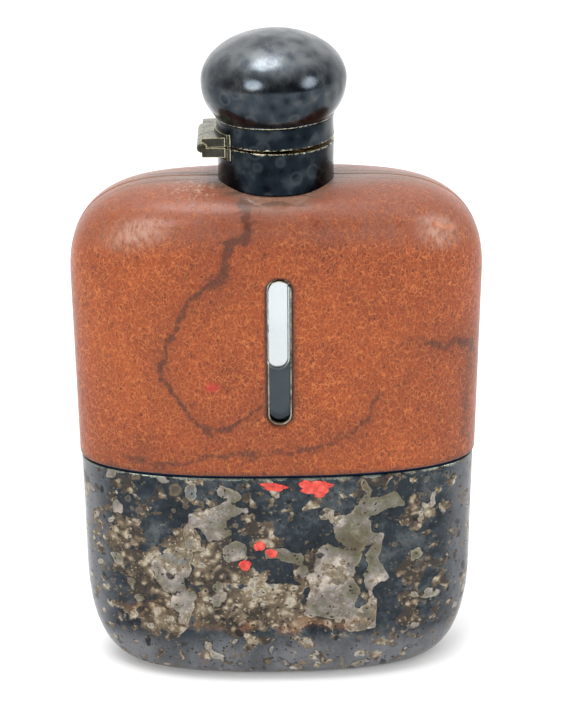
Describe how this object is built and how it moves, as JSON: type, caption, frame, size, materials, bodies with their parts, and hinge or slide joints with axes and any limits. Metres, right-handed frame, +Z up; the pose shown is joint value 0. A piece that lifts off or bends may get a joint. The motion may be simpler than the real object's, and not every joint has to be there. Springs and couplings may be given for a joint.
{
  "type": "hip flask",
  "caption": "Flat-oval glass hip flask in a leather cover with a sight slot, a plated pull-off drinking cup and a side-hinged quarter-turn bun cap.",
  "frame": {"origin": "centre of the foot's lowest plane, midway across the width and the depth", "axes": "+Z up through the neck, -Y the front with the sight slot seen, -X the side with the hinge, so +X is the side that opens"},
  "size_m": [0.1, 0.0372, 0.1662],
  "materials": {
    "glass": "clear, slightly green, smooth",
    "leather": "tan grained leather, worn and water-stained",
    "bezel": "thin pale edging, dulled",
    "cement": "plaster, matt",
    "plate": "silver plate, tarnished nearly black, glossy",
    "cup_plate": "silver plate, tarnished black with worn pale patches",
    "hinge_plate": "pale gold and grey-green, worn bright on the edges",
    "brass": "dull brass",
    "cork": "cork, matt, speckled"
  },
  "bodies": {
    "cup": {"cup_shell": "cup_plate"},
    "bottle": {"glass_bottle": "glass", "leather_front": "leather", "leather_back": "leather", "slot_bezel_front": "bezel", "slot_bezel_back": "bezel", "neck_cement": "cement", "neck_collar": "plate", "bayonet_flange": "brass", "collar_saddle": "hinge_plate", "lower_hinge_leaf": "hinge_plate", "hinge_pin": "hinge_plate"},
    "ring": {"hinged_ring": "plate", "ring_bearing_plate": "brass", "ring_saddle": "hinge_plate", "upper_hinge_leaf": "hinge_plate"},
    "cap": {"cap_dome": "plate", "cap_base_plate": "plate", "bayonet_barrel": "brass", "bayonet_lugs": "brass", "barrel_retainer": "brass", "cork_plate": "brass", "cork_seal": "cork"}
  },
  "joints": [
    {"name": "lid_hinge", "type": "hinge", "parent": "bottle", "child": "ring", "pos_m": [-0.0173, 0, 0.14065], "axis": [0, -1, 0], "range_deg": [0, 110]},
    {"name": "cap_twist", "type": "hinge", "parent": "ring", "child": "cap", "pos_m": [-0.00001, 0, 0.14118], "axis": [-0.0305, 0, 0.9995], "range_deg": [-90, 0]},
    {"name": "cup_slide", "type": "slide", "parent": "cup", "child": "bottle", "axis": [0, 0, 1], "range_m": [0, 0.065]}
  ]
}
